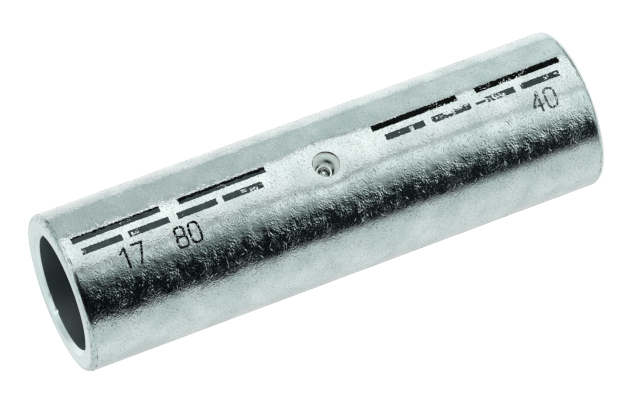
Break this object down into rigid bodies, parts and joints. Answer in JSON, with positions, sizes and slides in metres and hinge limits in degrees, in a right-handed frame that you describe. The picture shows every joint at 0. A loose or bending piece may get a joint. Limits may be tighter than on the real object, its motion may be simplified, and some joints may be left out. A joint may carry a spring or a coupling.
{
  "type": "butt splice connector",
  "caption": "Straight round tinned copper sleeve with a socket at each end and a punched centre stop, crimped onto butted cable ends to splice them in line.",
  "frame": {"origin": "on the sleeve's axis, in the plane of the lower cut end that it stands on", "axes": "+Z along the sleeve's axis, away from the end that it stands on; -Y towards the punch mark at mid-length"},
  "size_m": [0.0234, 0.0234, 0.08],
  "materials": {
    "tinned_copper": "bright electroplated tin on copper, satin from tumbling, with fine random scratches",
    "marking_ink": "thin black printing ink, partly worn away"
  },
  "bodies": {
    "root": {"splice_sleeve": "tinned_copper"}
  },
  "joints": []
}
